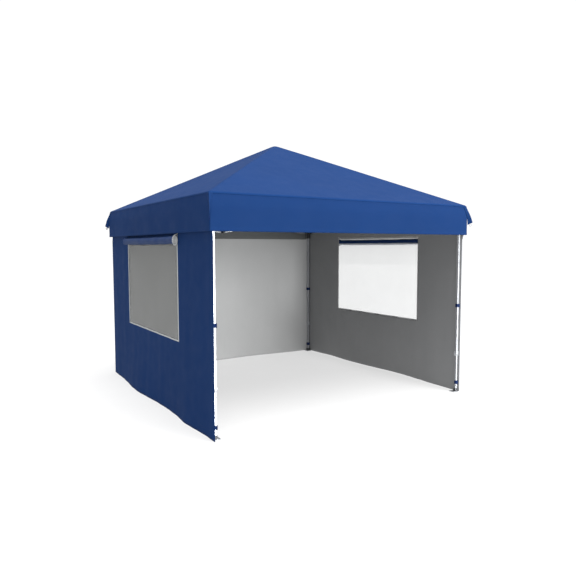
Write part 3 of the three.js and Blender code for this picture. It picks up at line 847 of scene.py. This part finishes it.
def rivet_heads(bm):
    """The middle, direction and reach of each round end face of a rivet."""
    heads = []
    for face in bm.faces:
        if len(face.verts) < 8:
            continue
        centre = face.calc_center_median()
        radii = [(v.co - centre).length for v in face.verts]
        if RIVET_R[0] < min(radii) and max(radii) < RIVET_R[1] and max(radii) - min(radii) < 0.0004:
            heads.append((centre, face.normal.copy(), max(radii) + 0.0003))
    return heads


def on_head(face, centre, normal, reach):
    """Whether every corner of a face belongs to the rivet head given."""
    for offset in (v.co - centre for v in face.verts):
        height = offset.dot(normal)
        if abs(height) >= RIVET_HIGH or (offset - normal * height).length >= reach:
            return False
    return True


def refined(name, node, slot, mats, region=None, bevel=0.0009):
    """Stands for a CAD node and rides on its body: the node's own shape with flats merged, edges rounded and
    rivet heads in the last material. region gives a face's material from its centre."""
    source = frame["nodes"][node]
    bm = bmesh.new()
    bm.from_mesh(source.data)
    bm.transform(source.matrix_world)
    bmesh.ops.remove_doubles(bm, verts=bm.verts, dist=1e-6)
    bmesh.ops.dissolve_limit(bm, angle_limit=math.radians(0.5), verts=bm.verts, edges=bm.edges)
    heads = rivet_heads(bm)
    for face in bm.faces:
        face.material_index = region(face.calc_center_median()) if region else 0
        if any(on_head(face, *head) for head in heads):
            face.material_index = len(mats) - 1
    sharp = [e for e in bm.edges if len(e.link_faces) == 2 and e.calc_face_angle(0) > math.radians(38)]
    bmesh.ops.bevel(bm, geom=sharp, offset=bevel, segments=2, profile=0.5, affect="EDGES", clamp_overlap=True)
    mesh = bpy.data.meshes.new(name)
    bm.to_mesh(mesh)
    bm.free()
    for m in mats:
        mesh.materials.append(m)
    mesh.polygons.foreach_set("use_smooth", np.ones(len(mesh.polygons), bool))
    mesh.set_sharp_from_angle(angle=math.radians(48))
    attach(link(name, mesh), node, slot, node)


BRACKET_LOW = 1.9445  # the moulded corner bracket starts here on an outer leg
SOCKET_LOW, SOCKET_HIGH = 0.0055, 0.0405  # the moulded foot socket's reach on an inner leg
CAP_LOW = 2.69


def leg_region(c):
    return 1 if c.z > BRACKET_LOW else 0


def foot_region(c):
    off_axis = max(abs(abs(c.x) - LEG), abs(abs(c.y) - LEG))
    return 1 if SOCKET_LOW < c.z < SOCKET_HIGH and off_axis > INNER + 0.0007 else 0


def pole_region(c):
    return 1 if c.z > CAP_LOW else 0


def metalwork():
    for name in list(frame["nodes"]):
        if name.startswith("outer_leg"):
            refined(name.replace("outer_leg", "leg"), name, "leg_steel", [STEEL, BLACK, RIVET], leg_region)
        elif name.startswith("inner_leg"):
            foot = name.replace("inner_leg", "foot")
            refined(foot, name, "leg_steel", [STEEL, BLACK, RIVET], foot_region, bevel=0.0007)
        elif name.startswith("slider_lock"):
            refined("pull_" + name, name, "lock_plastic", [GREY, GREY])
        elif name.startswith("leg_lock"):
            refined("pull_" + name, name, "lock_plastic", [STEEL, STEEL])
        elif name.startswith(("slider", "middle_bracket", "hub")):
            refined("moulded_" + name, name, "dark_plastic", [BLACK, RIVET], bevel=0.0012)
        elif name == "peak_pole":
            refined("pole_and_cap", name, "bar_steel", [BAR, BLACK, RIVET], pole_region)
        elif "_bar_" in name or name.startswith(("roof_bar", "strut")):
            refined("steel_" + name, name, "bar_steel", [BAR, RIVET], bevel=0.0011)


HOLE_LOW, HOLE_STEP, HOLES = 0.115, 0.06, 5
# An eyelet's section: radius, and how far it stands out of the tube.
EYELET = ((0.0052, -0.0004), (0.0052, 0.0003), (0.0044, 0.0004), (0.0040, 0.0001), (0.0039, -0.0004))


def leg_holes():
    """The height holes of each inner leg, each a dark eyelet in the tube's two sides that show."""
    up, face = np.array([0, 0, 1.0]), INNER + 0.0001
    for number, corner in enumerate(CORNERS):
        eyelets = []
        for k in range(HOLES):
            axis = np.array([-LEG, -LEG, HOLE_LOW + HOLE_STEP * k])
            for way, (out, across) in enumerate((((1.0, 0, 0), (0, 1.0, 0)), ((0, -1.0, 0), (1.0, 0, 0)))):
                out, across = np.array(out), np.array(across)
                rings = []
                for radius, proud in EYELET:
                    centre = axis + out * face + out * proud
                    rings.append([centre + radius * (math.cos(a) * across + math.sin(a) * up)
                                  for a in np.linspace(0, 2 * math.pi, 20, endpoint=False)])
                eyelets.append(tube_rings(f"hole_{corner}_{k}_{way}", rings, [BLACK], side=number))
        attach(join(f"height_holes_{corner}", eyelets), f"inner_leg_{corner}", "dark_plastic")


STRAP_HALF, STRAP_THICK = 0.0190, 0.0013
# The way from each leg to the wall that its straps hold, in the leg's own side's directions.
STRAP_TOWARD = [(-1, 0), (0, -1), (-1, 0), (-1, 0)]


def strap_band(name, number, centre, half, z):
    """The band round the leg and the wall's edge: a thin closed ring with a rectangular section."""
    loops = []
    low, high = -STRAP_HALF, STRAP_HALF
    for out, dz in ((0.0, low), (STRAP_THICK, low), (STRAP_THICK, high), (0.0, high)):
        outline = rounded_square(half[0] + out, half[1] + out, 0.004 + out, 4, *centre)
        loops.append([(x, y, z + dz + 0.0006 * math.sin(3 * k)) for k, (x, y) in enumerate(outline)])
    per = len(loops[0])
    faces = []
    for r in range(4):
        for k in range(per):
            after, above = (k + 1) % per, (r + 1) % 4 * per
            faces.append((r * per + k, r * per + after, above + after, above + k))
    band = build(name, [p for loop in loops for p in loop], faces, [TAPE], side=number)
    band.data.set_sharp_from_angle(angle=math.radians(40))
    return band


def strap_tab(name, number, start, direction, length, z):
    """A loose end of the tape, standing off the band."""
    high, rings = STRAP_HALF - 0.001, []
    for s in (k / 5 for k in range(6)):
        x = start[0] + direction[0] * length * s
        y = start[1] + direction[1] * length * s + 0.0016 * math.sin(2.4 * s)
        rings.append([(x, y + side, z + dz) for side, dz in
                      ((-0.0006, -high), (0.0006, -high), (0.0006, high), (-0.0006, high))])
    return tube_rings(name, rings, [TAPE], side=number, smooth=False)


def straps():
    """Hook-and-loop straps that hold the walls' edges to the legs, each with two loose ends."""
    for number, corner in enumerate(CORNERS):
        wall_x, wall_y = STRAP_TOWARD[number]
        for place, leg, half_leg in (("high", "outer_leg", TUBE), ("low", "inner_leg", INNER)):
            z = STRAP_Z[place]
            grow = (WALL_IN - LEG - half_leg - 0.0026) / 2
            half = (half_leg + 0.0012 + grow * abs(wall_x), half_leg + 0.0012 + grow * abs(wall_y))
            centre = (-LEG + wall_x * grow, -LEG + wall_y * grow)
            edge_x, edge_y = centre[0] + half[0] + STRAP_THICK, centre[1] - half[1] - STRAP_THICK
            parts = [strap_band(f"strap_band_{place}_{corner}", number, centre, half, z)]
            for start, direction, length in (((edge_x - 0.004, edge_y + 0.0010), (1.0, -0.10), 0.013),
                                             ((edge_x - 0.002, edge_y - 0.0008), (1.0, -0.28), 0.009)):
                parts.append(strap_tab(f"tab_{corner}_{place}_{length}", number, start, direction, length, z))
            strap = attach(join(f"leg_strap_{place}_{corner}", parts), f"{leg}_{corner}", "wall_fabric")
            if place == "low":
                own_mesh(strap)


camera()
studio()
roof_panels()
valance()
darts()
walls()
metalwork()
leg_holes()
straps()
